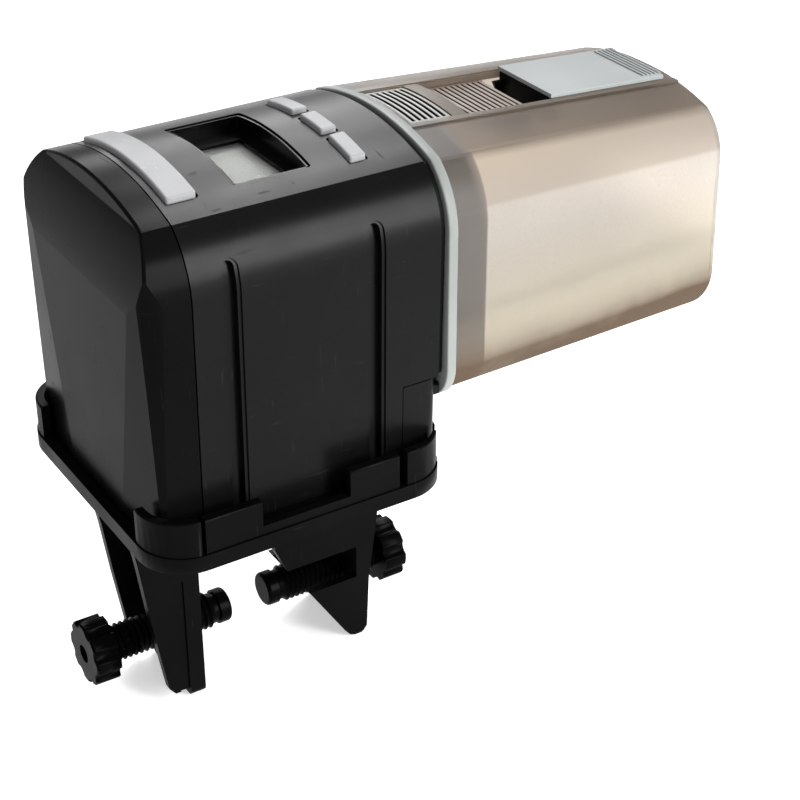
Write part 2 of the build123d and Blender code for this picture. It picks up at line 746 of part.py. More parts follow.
board_back = -24.4
board_front = 27.0
with BuildPart() as circuit_board:
    with BuildSketch(Plane.XY.offset(board_top - board_thickness)):
        with Locations(((board_back + board_front) / 2, 0)):
            RectangleRounded(board_front - board_back, 52.0, 1.5)
        with Locations(*board_posts):
            Circle(1.1, mode=Mode.SUBTRACT)
    extrude(amount=board_thickness)
    # Control chip and timing crystal
    with BuildSketch(Plane.XY.offset(board_top)):
        with Locations((16.6, 8.0)):
            Rectangle(5.0, 10.0)
        with Locations((16.8, -12.0)):
            Rectangle(3.2, 8.0)
    extrude(amount=1.4)
save(circuit_board.part, "circuit_board")

switch_places = [(feed_x, feed_y)] + [(x, y) for x, y, length in small_buttons.values()]
with BuildPart() as button_switches:
    with BuildSketch(Plane.XY.offset(board_top + 0.02)):
        with Locations(*switch_places):
            Rectangle(4.0, 4.0)
    extrude(amount=switch_height - button_travel - 0.22)
save(button_switches.part, "button_switches")

with BuildPart() as board_screws:
    for x, y in board_posts:
        with BuildSketch(Plane.XY.offset(board_top - board_thickness - 0.02)):
            with Locations((x, y)):
                Circle(1.9)
        extrude(amount=-1.1)
        with BuildSketch(Plane.XY.offset(board_top - board_thickness - 0.1)):
            with Locations((x, y)):
                Circle(0.8)
        extrude(amount=4.4)
save(board_screws.part, "board_screws")

# ================================================================ batteries
battery_radius = 7.1
battery_length = 50.5
battery_y = 8.2
battery_z = 13.4
battery_back = -26.6
for side, battery_name in ((-1, "battery_near"), (1, "battery_far")):
    nub = 1 if side < 0 else -1
    with BuildPart() as battery:
        with BuildSketch(Plane.YZ.offset(battery_back + (1.0 if nub < 0 else 0.0))):
            with Locations((side * battery_y, battery_z)):
                Circle(battery_radius)
        extrude(amount=battery_length - 1.0)
        fillet(battery.edges().filter_by(GeomType.CIRCLE), 0.6)
        with BuildSketch(Plane.YZ.offset(battery_back + (battery_length - 1.1 if nub > 0 else 0.0))):
            with Locations((side * battery_y, battery_z)):
                Circle(2.7)
        extrude(amount=1.1)
    save(battery.part, battery_name)

contact_room = 1.7
cradle_wall = 1.4
with BuildPart() as battery_cradle:
    with BuildSketch(Plane.YZ.offset(battery_back - contact_room - cradle_wall)):
        with Locations((0, 11.0)):
            Rectangle(35.0, 12.4)
        with Locations((-battery_y, battery_z), (battery_y, battery_z)):
            Circle(battery_radius + 0.25, mode=Mode.SUBTRACT)
    extrude(amount=battery_length + 2 * (contact_room + cradle_wall))
    cradle_back = battery_back - contact_room - cradle_wall
    cradle_front = battery_back + battery_length + contact_room
    for wall_back in (cradle_back, cradle_front):
        with BuildSketch(Plane.YZ.offset(wall_back)):
            with Locations((0, 12.9)):
                Rectangle(35.0, 16.2)
        extrude(amount=cradle_wall)
save(battery_cradle.part, "battery_cradle")


def battery_contact(plate_x, direction, y):
    """A plate with a stepped spring cone that points at the battery's end, along X in `direction`."""
    with BuildPart() as contact:
        with BuildSketch(Plane.YZ.offset(plate_x)):
            with Locations((y, battery_z)):
                Rectangle(9.0, 9.0)
        extrude(amount=direction * 0.4)
        for step in range(3):
            with BuildSketch(Plane.YZ.offset(plate_x + direction * (0.4 + 0.35 * step))):
                with Locations((y, battery_z)):
                    Circle(3.6 - 0.7 * step)
                    Circle(2.6 - 0.7 * step, mode=Mode.SUBTRACT)
            extrude(amount=direction * 0.4)
    return contact.part


with BuildPart() as battery_contacts:
    for y in (-battery_y, battery_y):
        add(battery_contact(battery_back - contact_room + 0.1, 1, y))
        add(battery_contact(battery_back + battery_length + contact_room - 0.1, -1, y))
save(battery_contacts.part, "battery_contacts")


# ================================================================ gear train
def involute(angle):
    """The involute function, in radians."""
    return tan(angle) - angle


def gear_face(teeth, tooth_direction):
    """A spur gear's outline about the origin, with one tooth centred on `tooth_direction` in degrees."""
    pitch_radius = gear_module * teeth / 2
    base_radius = pitch_radius * cos(radians(20))
    root_radius = pitch_radius - 1.25 * gear_module
    tip_radius = pitch_radius + 0.9 * gear_module
    start_radius = max(base_radius, root_radius)
    half_tooth = (pi * gear_module / 2 - backlash) / (2 * pitch_radius)
    points = []
    for tooth in range(teeth):
        centre = radians(tooth_direction) + 2 * pi * tooth / teeth
        flank = []
        for step in range(4):
            radius = start_radius + (tip_radius - start_radius) * step / 3
            lean = half_tooth + involute(radians(20)) - involute(acos(base_radius / radius))
            flank.append((radius, lean))
        if start_radius > root_radius:
            flank.insert(0, (root_radius, flank[0][1]))
        for radius, lean in flank:
            points.append((radius * cos(centre - lean), radius * sin(centre - lean)))
        for radius, lean in reversed(flank):
            points.append((radius * cos(centre + lean), radius * sin(centre + lean)))
    with BuildSketch() as face:
        with BuildLine():
            Polyline(*points, close=True)
        make_face()
    return face.sketch


to_compound = compound_angle
to_motor = motor_angle
with BuildPart() as output_gear:
    with BuildSketch(Plane.YZ.offset(front_layer)):
        with Locations((0, axis_z)):
            add(gear_face(output_teeth, to_compound))
            Circle(shaft_radius + 0.02, mode=Mode.SUBTRACT)
            with PolarLocations(9.0, 5):
                Circle(2.6, mode=Mode.SUBTRACT)
    extrude(amount=gear_width)
save(output_gear.part, "output_gear")

axle_radius = 1.0
with BuildPart() as compound_gear:
    with BuildSketch(Plane.YZ.offset(rear_layer)):
        with Locations((compound_y, compound_z)):
            add(gear_face(wheel_teeth, to_motor))
            Circle(axle_radius + 0.05, mode=Mode.SUBTRACT)
    extrude(amount=gear_width)
    with BuildSketch(Plane.YZ.offset(rear_layer + gear_width)):
        with Locations((compound_y, compound_z)):
            add(gear_face(pinion_teeth, to_compound + 180 + 180 / pinion_teeth))
            Circle(axle_radius + 0.05, mode=Mode.SUBTRACT)
    extrude(amount=front_layer + gear_width - rear_layer - gear_width)
save(compound_gear.part, "compound_gear")

plate_back = 22.6
plate_thickness = 1.6
plate_front = 33.3
with BuildPart() as compound_axle:
    with BuildSketch(Plane.YZ.offset(plate_back + 0.2)):
        with Locations((compound_y, compound_z)):
            Circle(axle_radius)
    extrude(amount=plate_front + plate_thickness - plate_back - 0.4)
save(compound_axle.part, "compound_axle")

motor_shaft_radius = 1.0
with BuildPart() as motor_pinion:
    with BuildSketch(Plane.YZ.offset(rear_layer)):
        with Locations((motor_y, motor_z)):
            add(gear_face(pinion_teeth, to_motor + 180 + 180 / pinion_teeth))
            Circle(motor_shaft_radius + 0.01, mode=Mode.SUBTRACT)
    extrude(amount=gear_width)
save(motor_pinion.part, "motor_pinion")

motor_radius = 9.0
motor_length = 25.0
with BuildPart() as motor_shaft:
    with BuildSketch(Plane.YZ.offset(plate_back - 3.0)):
        with Locations((motor_y, motor_z)):
            Circle(motor_shaft_radius)
    extrude(amount=9.2)
save(motor_shaft.part, "motor_shaft")

with BuildPart() as motor:
    with BuildSketch(Plane.YZ.offset(plate_back - 0.05 - motor_length)):
        with Locations((motor_y, motor_z)):
            Circle(motor_radius)
    extrude(amount=motor_length)
    fillet(motor.edges().filter_by(GeomType.CIRCLE), 0.8)
    with BuildSketch(Plane.YZ.offset(plate_back - 3.4)):
        with Locations((motor_y, motor_z)):
            Circle(motor_shaft_radius + 0.06)
    extrude(amount=4.0, mode=Mode.SUBTRACT)
    # Rear terminals
    with BuildSketch(Plane.YZ.offset(plate_back - 0.05 - motor_length)):
        with Locations((motor_y - 4.5, motor_z), (motor_y + 4.5, motor_z)):
            Rectangle(0.5, 2.4)
    extrude(amount=-2.6)
save(motor.part, "motor")

plate_posts = [(-16.9, 43.0), (-9.5, 66.0), (21.6, 42.0)]


def gearbox_plate(holes):
    """One side plate of the gear train, cut round its axles and the given (y, z, radius) holes."""
    with BuildSketch() as plate:
        with Locations((compound_y, compound_z)):
            Circle(13.0)
        with Locations(*plate_posts):
            Circle(3.4)
        with Locations((motor_y, motor_z)):
            Circle(9.2)
        make_hull()
        for y, z, radius in holes:
            with Locations((y, z)):
                Circle(radius, mode=Mode.SUBTRACT)
    return plate.sketch


with BuildPart() as gearbox_rear_plate:
    with BuildSketch(Plane.YZ.offset(plate_back)):
        add(gearbox_plate([
            (compound_y, compound_z, axle_radius + 0.01),
            (motor_y, motor_z, 2.6),
            (0, axis_z, shaft_radius + 0.06),
        ]))
    extrude(amount=plate_thickness)
    with BuildSketch(Plane.YZ.offset(plate_back + plate_thickness)):
        with Locations(*plate_posts):
            Circle(1.7)
            Circle(0.75, mode=Mode.SUBTRACT)
    extrude(amount=plate_front - plate_back - plate_thickness - 0.02)
save(gearbox_rear_plate.part, "gearbox_rear_plate")

with BuildPart() as gearbox_front_plate:
    with BuildSketch(Plane.YZ.offset(plate_front)):
        add(gearbox_plate([
            (compound_y, compound_z, axle_radius + 0.01),
            (0, axis_z, shaft_radius + 0.06),
        ] + [(y, z, 0.95) for y, z in plate_posts]))
    extrude(amount=plate_thickness)
save(gearbox_front_plate.part, "gearbox_front_plate")

with BuildPart() as gearbox_screws:
    for y, z in plate_posts:
        with BuildSketch(Plane.YZ.offset(plate_front + plate_thickness + 0.02)):
            with Locations((y, z)):
                Circle(1.6)
        extrude(amount=0.42)
        with BuildSketch(Plane.YZ.offset(plate_front + plate_thickness + 0.02)):
            with Locations((y, z)):
                Circle(0.72)
        extrude(amount=-6.0)
save(gearbox_screws.part, "gearbox_screws")

with BuildPart() as shaft_bush:
    with BuildSketch(Plane.YZ.offset(body_front - wall)):
        with Locations((0, axis_z)):
            Circle(4.95)
            Circle(shaft_radius + 0.05, mode=Mode.SUBTRACT)
    extrude(amount=wall)
    with BuildSketch(Plane.YZ.offset(body_front)):
        with Locations((0, axis_z)):
            Circle(6.4)
            Circle(shaft_radius + 0.05, mode=Mode.SUBTRACT)
    extrude(amount=0.6)
save(shaft_bush.part, "shaft_bush")

hub_back = 38.5
hub_front = 47.6
with BuildPart() as output_shaft:
    with BuildSketch(Plane.YZ.offset(plate_back + 0.2)):
        with Locations((0, axis_z)):
            Circle(shaft_radius)
    extrude(amount=hub_front - plate_back - 0.8)
    chamfer(output_shaft.edges().filter_by(GeomType.CIRCLE), 0.4)
save(output_shaft.part, "output_shaft")


def hub_outline(clearance):
    """The drive hub's section: a round with two flats, so that the drum goes on only one way round."""
    with BuildSketch() as outline:
        Circle(8.0 + clearance)
        with Locations((0, 7.0 + clearance), (0, -12.0 - clearance)):
            Rectangle(30, 4.0, align=(Align.CENTER, Align.MIN), mode=Mode.SUBTRACT)
    return outline.sketch


with BuildPart() as drive_hub:
    with BuildSketch(Plane.YZ.offset(hub_back)):
        with Locations((0, axis_z)):
            add(hub_outline(0))
            Circle(shaft_radius + 0.01, mode=Mode.SUBTRACT)
    extrude(amount=hub_front - hub_back)
    chamfer(drive_hub.edges().filter_by_position(Axis.X, hub_front - 0.01, hub_front + 0.01), 0.4)
save(drive_hub.part, "drive_hub")

# ================================================================ drum
sleeve_gap = 0.15
sleeve_wall = 1.6
with BuildPart() as drum_collar:
    with BuildSketch(Plane.YZ.offset(ring_back)):
        add(ring_outline())
    extrude(amount=ring_front - ring_back)
    fillet(drum_collar.edges().group_by(Axis.X)[0], 0.4)
    with BuildSketch(Plane.YZ.offset(ring_back)):
        add(ring_outline(inset=4.2))
    extrude(amount=1.0, mode=Mode.SUBTRACT)
    # Sleeve that the clear shell pushes over
    with BuildSketch(Plane.YZ.offset(ring_front)):
        add(drum_outline(ring_front, inset=drum_wall + sleeve_gap))
    with BuildSketch(Plane.YZ.offset(sleeve_front)):
        add(drum_outline(sleeve_front, inset=drum_wall + sleeve_gap))
    loft()
    with BuildSketch(Plane.YZ.offset(ring_front)):
        add(drum_outline(ring_front, inset=drum_wall + sleeve_gap + sleeve_wall))
    with BuildSketch(Plane.YZ.offset(sleeve_front + 0.1)):
        add(drum_outline(sleeve_front + 0.1, inset=drum_wall + sleeve_gap + sleeve_wall))
    loft(mode=Mode.SUBTRACT)
    # Blind socket for the drive hub
    with BuildSketch(Plane.YZ.offset(ring_back + 0.5)):
        with Locations((0, axis_z)):
            Circle(10.4)
    extrude(amount=9.9)
    with BuildSketch(Plane.YZ.offset(ring_back)):
        with Locations((0, axis_z)):
            add(hub_outline(0.2))
    extrude(amount=8.8, mode=Mode.SUBTRACT)
save(drum_collar.part, "drum_collar")


def deck_z(x, depth=0.0):
    """Height of the drum's crown line at x, less depth."""
    return drum_crown - drum_fall * (x - ring_front) / (drum_end - ring_front) - depth


channel_half = 11.7
rail_outer = 13.8
rail_end = drum_end - 2.0


def sloped_slab(x_start, x_end, half_width, lower, upper):
    """A slab parallel to the drum's sloping top, from `lower` to `upper` above its crown line."""
    with BuildPart() as slab:
        with BuildSketch(Plane.XZ.offset(-half_width)):
            with BuildLine():
                Polyline(
                    (x_start, deck_z(x_start) + lower),
                    (x_end, deck_z(x_end) + lower),
                    (x_end, deck_z(x_end) + upper),
                    (x_start, deck_z(x_start) + upper),
                    close=True,
                )
            make_face()
        extrude(amount=2 * half_width)
    return slab.part


grille_back = 43.6
grille_front = 55.2
with BuildPart() as drum_shell:
    with BuildSketch(Plane.YZ.offset(shell_back)):
        add(drum_outline(shell_back))
    with BuildSketch(Plane.YZ.offset(drum_end)):
        add(drum_outline(drum_end))
    loft()
    fillet(drum_shell.edges().filter_by_position(Axis.X, drum_end - 0.01, drum_end + 0.01), 2.6)
    # Two guide rails along the top
    for side in (1, -1):
        rail_middle = side * (channel_half + rail_outer) / 2
        with BuildSketch(Plane.XZ.offset(-rail_middle - (rail_outer - channel_half) / 2)):
            with BuildLine():
                Polyline(
                    (shell_back, deck_z(shell_back, 4)),
                    (rail_end, deck_z(rail_end, 4)),
                    (rail_end, deck_z(rail_end, 0.5)),
                    (shell_back, deck_z(shell_back, 0.5)),
                    close=True,
                )
            make_face()
        extrude(amount=rail_outer - channel_half)
    with BuildSketch(Plane.YZ.offset(shell_back)):
        add(drum_outline(shell_back, inset=drum_wall))
    with BuildSketch(Plane.YZ.offset(drum_end - drum_wall)):
        add(drum_outline(drum_end - drum_wall, inset=drum_wall))
    loft(mode=Mode.SUBTRACT)
    # Feed mouth, vent window and the slider's channel
    add(sloped_slab(mouth_back, mouth_front, mouth_half_width, -8, 4), mode=Mode.SUBTRACT)
    add(sloped_slab(grille_back, grille_front, mouth_half_width, -8, 4), mode=Mode.SUBTRACT)
    add(sloped_slab(mouth_back - 0.4, drum_end + 2, channel_half, -0.9, 4), mode=Mode.SUBTRACT)
save(drum_shell.part, "drum_shell")

slot_count = 6
slot_depth = 1.4          # the slots stop at a thin floor that keeps dust out
slot_half = 0.48
slot_pitch = (grille_front - grille_back - 1.4) / slot_count
with BuildPart() as vent_grille:
    with BuildSketch(Plane.YZ.offset(grille_back + 0.2)):
        add(drum_outline(grille_back + 0.2, inset=0.35))
    with BuildSketch(Plane.YZ.offset(grille_front - 0.2)):
        add(drum_outline(grille_front - 0.2, inset=0.35))
    loft()
    with BuildSketch(Plane.YZ.offset(grille_back)):
        add(drum_outline(grille_back, inset=drum_wall))
    with BuildSketch(Plane.YZ.offset(grille_front)):
        add(drum_outline(grille_front, inset=drum_wall))
    loft(mode=Mode.SUBTRACT)
    add(sloped_slab(grille_back, grille_front, mouth_half_width - 0.2, -8, 4), mode=Mode.INTERSECT)
    for slot in range(slot_count):
        slot_x = grille_back + 0.7 + (slot + 0.5) * slot_pitch
        with BuildSketch(Plane.YZ.offset(slot_x - slot_half)):
            add(drum_outline(slot_x, inset=0))
            add(drum_outline(slot_x, inset=slot_depth), mode=Mode.SUBTRACT)
            with Locations((0, drum_crown)):
                Rectangle(2 * (mouth_half_width - 1.2), 12, mode=Mode.INTERSECT)
        extrude(amount=2 * slot_half, mode=Mode.SUBTRACT)
save(vent_grille.part, "vent_grille")

ramp_start = mouth_back + 0.6
ramp_end = 78.0
ramp_top = 2.2            # how far the bars' tops lie below the crown line
ramp_floor = 4.4          # the same for the floor between the bars, at its shallow end
ramp_drop = 4.4           # how much deeper the floor is at the slider's end
ramp_half = mouth_half_width - 0.3
bar_count = 11
with BuildPart() as metering_ramp:
    with BuildSketch(Plane.XZ.offset(-ramp_half)):
        with BuildLine():
            Polyline(
                (ramp_start, deck_z(ramp_start, ramp_floor)),
                (ramp_end, deck_z(ramp_end, ramp_floor + ramp_drop)),
                (ramp_end, deck_z(ramp_end, ramp_floor + ramp_drop + 1.4)),
                (ramp_start, deck_z(ramp_start, ramp_floor + 1.4)),
                close=True,
            )
        make_face()
        bar_pitch = (ramp_end - ramp_start) / bar_count
        for bar in range(bar_count):
            bar_x = ramp_start + (bar + 0.5) * bar_pitch
            bar_foot = ramp_floor + ramp_drop * (bar + 0.5) / bar_count + 0.6
            with Locations((bar_x, deck_z(bar_x, (ramp_top + bar_foot) / 2))):
                Rectangle(0.9, bar_foot - ramp_top)
    extrude(amount=2 * ramp_half)
    # Side cheeks that hang the ramp from the shell
    for side in (1, -1):
        with BuildSketch(Plane.XZ.offset(-side * (ramp_half - 0.5) - 0.5)):
            with BuildLine():
                Polyline(
                    (ramp_start, deck_z(ramp_start, ramp_top)),
                    (ramp_end, deck_z(ramp_end, ramp_top)),
                    (ramp_end, deck_z(ramp_end, ramp_floor + ramp_drop + 1.4)),
                    (ramp_start, deck_z(ramp_start, ramp_floor + 1.4)),
                    close=True,
                )
            make_face()
        extrude(amount=1.0)
save(metering_ramp.part, "metering_ramp")

# Wall that closes the metering chamber under the slider's edge
wall_back = 83.9
with BuildPart() as metering_wall:
    add(sloped_slab(wall_back, wall_back + 1.1, ramp_half, -8.4, -0.9))
    for side in (1, -1):
        with BuildSketch(Plane.XZ.offset(-side * (ramp_half - 0.5) - 0.5)):
            with BuildLine():
                Polyline(
                    (wall_back, deck_z(wall_back, 3.0)),
                    (wall_back, deck_z(wall_back, 8.4)),
                    (wall_back - 2.4, deck_z(wall_back, 3.0)),
                    close=True,
                )
            make_face()
        extrude(amount=1.0)
save(metering_wall.part, "metering_wall")

slider_back = 83.6
slider_front = 118.5
with BuildPart() as feed_slider:
    add(sloped_slab(slider_back, slider_front, channel_half - 0.3, -0.55, 0.5))
    for ridge in range(5):
        ridge_x = slider_front - 5.6 + ridge * 1.25
        add(sloped_slab(ridge_x, ridge_x + 0.6, channel_half - 1.6, 0.3, 0.9))
save(feed_slider.part, "feed_slider")
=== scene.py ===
import math

import bmesh
import bpy
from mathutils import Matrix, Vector


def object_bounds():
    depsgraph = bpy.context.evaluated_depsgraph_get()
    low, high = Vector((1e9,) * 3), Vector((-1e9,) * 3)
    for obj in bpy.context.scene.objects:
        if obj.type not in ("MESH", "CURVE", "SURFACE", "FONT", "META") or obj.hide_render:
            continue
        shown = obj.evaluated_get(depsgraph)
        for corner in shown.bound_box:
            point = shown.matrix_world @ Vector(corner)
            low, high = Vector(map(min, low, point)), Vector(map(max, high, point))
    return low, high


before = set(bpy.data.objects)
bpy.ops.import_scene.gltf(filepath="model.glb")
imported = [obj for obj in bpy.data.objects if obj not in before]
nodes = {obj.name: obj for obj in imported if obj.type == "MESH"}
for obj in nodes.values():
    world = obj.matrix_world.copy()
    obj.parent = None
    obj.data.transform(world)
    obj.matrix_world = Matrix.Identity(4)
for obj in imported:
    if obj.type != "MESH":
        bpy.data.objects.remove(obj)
cad_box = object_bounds()

MM = 0.001

# The drum's crown, which its grille and ramp are measured down from
CROWN_SLOPE = 0.0613      # fall of the crown line per unit of X
CROWN_CURVE = 5.5         # 1/m: how fast the crown falls away across Y
CROWN_LEVEL = 0.08586     # m: the crown line's height, carried back to X = 0

# Parts of a noise field's range
WIDE = (0.3, 0.7)         # holds nearly all of the field's values
CORE = (0.35, 0.65)       # lets the highest and lowest values flatten out
CREST = (0.70, 0.76)      # only the tops of the field

# Moulded plastic. A scale is in features per metre, here and below.
DRIFT_SCALE = 24.0
GLOSS_SCALE = 60.0
GRAIN_STRENGTH = 0.25
MARK_SCALE = 420.0        # handling marks
MARK_STRETCHES = ((0.25, 0.25, 3.0), (3.2, 0.4, 0.3))
MARK_TINT = 0.5           # share of the worn colour in a mark
MARK_DULLING = 0.12       # roughness that a mark adds

# Bare metal
LINE_SCALE = 260.0
LINE_STRETCH = (1, 1, 30)
LINE_STRENGTH = 0.2
LINE_DEPTH = 0.02 * MM

# Clear plastic
CLEAR_DRIFT_SCALE = 26.0
CLEAR_DRIFT_STRETCH = (0.5, 1, 1)
SPECK_SCALE = 1900.0
HAZE_SCALE = 90.0
RIPPLE_SCALE = 500.0
RIPPLE_STRENGTH = 0.05
RIPPLE_DEPTH = 0.03 * MM
CLEAR_IOR = 1.49
PANE_IOR = 1.04           # near air's, so that the lights' glare stays off the display
PANE_REFLECTION = 0.05
DRUM_TRANSMISSION = 0.74
DRUM_REFLECTION = 0.3
DRUM_SPECULAR = 0.1

# The painted brown shade along the drum's lower edge
BROWN_WEIGHTS = (-0.02, 0, 1)
BROWN_START = 45.0        # mm up, where it begins
BROWN_FULL = 26.0         # mm up, where it is full
BROWN_WAVER = 0.06        # how far noise moves its edge
BROWN_WAVER_SCALE = 40.0
BROWN_EASE = 1.5          # power that holds it back where it begins
BROWN_SPAN = (0.1, 0.9)   # part of it over which the plastic turns cloudy
BROWN_TRANSMISSION = 0.08
BROWN_FROSTING = 0.6      # roughness added where it is full

# Rounding of the mouldings' edges
WELD_DISTANCE = 0.01 * MM
ROUND_SEGMENTS = 2
ROUND_ANGLE = 24.0        # degrees: sharper edges than this are rounded

# Studio
FLOOR_SIZE = 6.0          # m: half the floor's width
FLOOR_CELLS = 8
FLOOR_DRIFT_SCALE = 3.0
FLOOR_DROP = 0.2 * MM     # below the feet
FLOOR_GLOW = 0.48
WORLD_GLOW = 0.42
MIDDLE = (0.04, 0.0, 0.03)
HOUSING_TOP = (0.0, 0.0, 0.08)
CAMERA_PLACE = (-0.1777, -0.3581, 0.2524)
CAMERA_AIM = (0.4576, 0.7276, -0.5111)
CAMERA_LENS = 85.4        # mm
CAMERA_SENSOR = 36.0      # mm


# ---------------------------------------------------------------- material nodes
def grey(level):
    """A neutral colour."""
    return (level, level, level)


def node_material(name):
    """A new material with its Principled shader and an object-space coordinate to build from."""
    material = bpy.data.materials.new(name)
    material.use_nodes = True
    tree = material.node_tree
    shader = tree.nodes["Principled BSDF"]
    coords = tree.nodes.new("ShaderNodeTexCoord")
    return material, tree, shader, coords.outputs["Object"]


def reopen(material):
    """A finished material's tree, shader, object-space coordinate and colour, for more to be laid over it."""
    tree = material.node_tree
    shader = tree.nodes["Principled BSDF"]
    space = tree.nodes["Texture Coordinate"].outputs["Object"]
    return tree, shader, space, shader.inputs["Base Color"].links[0].from_socket


def noise(tree, vector, scale, detail=3.0, stretch=None):
    """A noise field. Scale is in features per metre; stretch squeezes it along X, Y, Z."""
    if stretch:
        mapping = tree.nodes.new("ShaderNodeMapping")
        mapping.inputs["Scale"].default_value = stretch
        tree.links.new(vector, mapping.inputs["Vector"])
        vector = mapping.outputs["Vector"]
    field = tree.nodes.new("ShaderNodeTexNoise")
    field.inputs["Scale"].default_value = scale
    field.inputs["Detail"].default_value = detail
    tree.links.new(vector, field.inputs["Vector"])
    return field.outputs["Fac"]


def spread(tree, value, low, high, span=WIDE):
    """Map the given span of a field onto the range low..high, and hold it there beyond the span."""
    ramp = tree.nodes.new("ShaderNodeMapRange")
    ramp.inputs["From Min"].default_value = span[0]
    ramp.inputs["From Max"].default_value = span[1]
    ramp.inputs["To Min"].default_value = low
    ramp.inputs["To Max"].default_value = high
    tree.links.new(value, ramp.inputs["Value"])
    return ramp.outputs["Result"]


def tint(tree, factor, dark, light):
    """A colour between dark and light by a 0-1 field. Either may be a colour or another node's output."""
    mix = tree.nodes.new("ShaderNodeMix")
    mix.data_type = "RGBA"
    tree.links.new(factor, mix.inputs["Factor"])
    for socket, colour in (("A", dark), ("B", light)):
        if isinstance(colour, tuple):
            mix.inputs[socket].default_value = (*colour, 1)
        else:
            tree.links.new(colour, mix.inputs[socket])
    return mix.outputs["Result"]


def combine(tree, first, second, operation="ADD"):
    """One field from two. Either may be a number."""
    node = tree.nodes.new("ShaderNodeMath")
    node.operation = operation
    for socket, value in zip(node.inputs, (first, second)):
        if isinstance(value, (int, float)):
            socket.default_value = value
        else:
            tree.links.new(value, socket)
    return node.outputs["Value"]


def weigh(tree, vector, weights):
    """The weighted sum of a vector's X, Y and Z."""
    dot = tree.nodes.new("ShaderNodeVectorMath")
    dot.operation = "DOT_PRODUCT"
    tree.links.new(vector, dot.inputs[0])
    dot.inputs[1].default_value = weights
    return dot.outputs["Value"]


def along(tree, space, weights, low, high):
    """0 at low and 1 at high, in mm, of a weighted sum of the object's own X, Y and Z."""
    return spread(tree, weigh(tree, space, weights), 0.0, 1.0, (low * MM, high * MM))


def bump(tree, shader, height, strength, distance):
    """Raise the surface a little by a height field."""
    node = tree.nodes.new("ShaderNodeBump")
    node.inputs["Strength"].default_value = strength
    node.inputs["Distance"].default_value = distance
    tree.links.new(height, node.inputs["Height"])
    tree.links.new(node.outputs["Normal"], shader.inputs["Normal"])


def scratches(tree, space):
    """Sparse fine handling marks: the crests of two long-drawn noise fields that cross."""
    marks = [
        spread(tree, noise(tree, space, MARK_SCALE, 2.0, stretch), 0.0, 1.0, CREST)
        for stretch in MARK_STRETCHES
    ]
    return combine(tree, *marks, "MAXIMUM")


# ---------------------------------------------------------------- kinds of material
def plastic(name, dark, light, rough, grain=2600.0, grain_depth=0.02, specular=0.5, worn=None):
    """Moulded plastic: slow colour drift, uneven gloss, fine moulded grain and faint handling marks.
    Grain is in features per metre, and its depth is in mm."""
    material, tree, shader, space = node_material(name)
    drift = spread(tree, noise(tree, space, DRIFT_SCALE), 0, 1, CORE)
    marks = scratches(tree, space)
    colour = tint(tree, drift, dark, light)
    if worn:
        colour = tint(tree, combine(tree, marks, MARK_TINT, "MULTIPLY"), colour, worn)
    tree.links.new(colour, shader.inputs["Base Color"])
    gloss = spread(tree, noise(tree, space, GLOSS_SCALE, 4.0), *rough, CORE)
    gloss = combine(tree, gloss, combine(tree, marks, MARK_DULLING, "MULTIPLY"))
    tree.links.new(gloss, shader.inputs["Roughness"])
    bump(tree, shader, noise(tree, space, grain, 2.0), GRAIN_STRENGTH, grain_depth * MM)
    shader.inputs["Specular IOR Level"].default_value = specular
    return material


def metal(name, dark, light, rough=(0.22, 0.4)):
    """Bare metal with drawn or turned lines."""
    material, tree, shader, space = node_material(name)
    lines = noise(tree, space, LINE_SCALE, 5.0, LINE_STRETCH)
    tree.links.new(tint(tree, spread(tree, lines, 0, 1), dark, light), shader.inputs["Base Color"])
    tree.links.new(spread(tree, lines, *rough), shader.inputs["Roughness"])
    bump(tree, shader, lines, LINE_STRENGTH, LINE_DEPTH)
    shader.inputs["Metallic"].default_value = 1.0
    return material


def clear_plastic(name, dark, light, rough, transmission, speck=0.0):
    """Tinted clear plastic: drifting tint, moulded-in haze and a fine frosted grain."""
    material, tree, shader, space = node_material(name)
    drift = spread(tree, noise(tree, space, CLEAR_DRIFT_SCALE, stretch=CLEAR_DRIFT_STRETCH), 0, 1)
    grain = spread(tree, noise(tree, space, SPECK_SCALE, 2.0), -speck, speck)
    tree.links.new(tint(tree, combine(tree, drift, grain), dark, light), shader.inputs["Base Color"])
    haze = noise(tree, space, HAZE_SCALE, 4.0)
    tree.links.new(spread(tree, haze, *rough, CORE), shader.inputs["Roughness"])
    bump(tree, shader, noise(tree, space, RIPPLE_SCALE), RIPPLE_STRENGTH, RIPPLE_DEPTH)
    shader.inputs["Transmission Weight"].default_value = transmission
    shader.inputs["IOR"].default_value = CLEAR_IOR
    return material


def display_pane():
    """The display's window: almost colourless, and with next to no reflection of its own."""
    material = clear_plastic("window_clear", (0.92, 0.93, 0.93), (0.96, 0.97, 0.97), (0.05, 0.1), 0.97)
    shader = material.node_tree.nodes["Principled BSDF"]
    shader.inputs["Specular Tint"].default_value = (*grey(PANE_REFLECTION), 1)
    shader.inputs["IOR"].default_value = PANE_IOR
    return material


# The drum's tints, mostly painted shade, in the order that they are laid: weights of X, Y and Z, where the
# tint starts and where it is full, in mm along them, its share, and its colour.
DRUM_TINTS_AND_SHADES = (
    # painted shade: the upper facet made darker
    ((0.04, 0, 1), 69.6, 70.6, 1.0, (0.70, 0.62, 0.54)),              # upper facet
    # painted shade: the flat top held dark against the lamps' reflections
    ((CROWN_SLOPE, 0, 1), 80.5, 82.5, 1.0, (0.24, 0.19, 0.15)),       # flat top
    # painted shade: a dark outline along the free end's rim
    ((1, 0, 0), 121.6, 123.3, 1.0, (0.30, 0.31, 0.31)),               # rim of the free end
    # partly the plastic's own olive tint, and partly painted shade that deepens lower down
    ((0, 0, 1), 60.0, 34.0, 0.75, (0.79, 0.72, 0.54)),                # olive cast, deeper lower down
    # painted shade where the collar's sleeve shows through the drum
    ((1, 0, 0), 50.7, 50.2, 0.85, (0.22, 0.20, 0.185)),               # where the collar's sleeve is inside
)


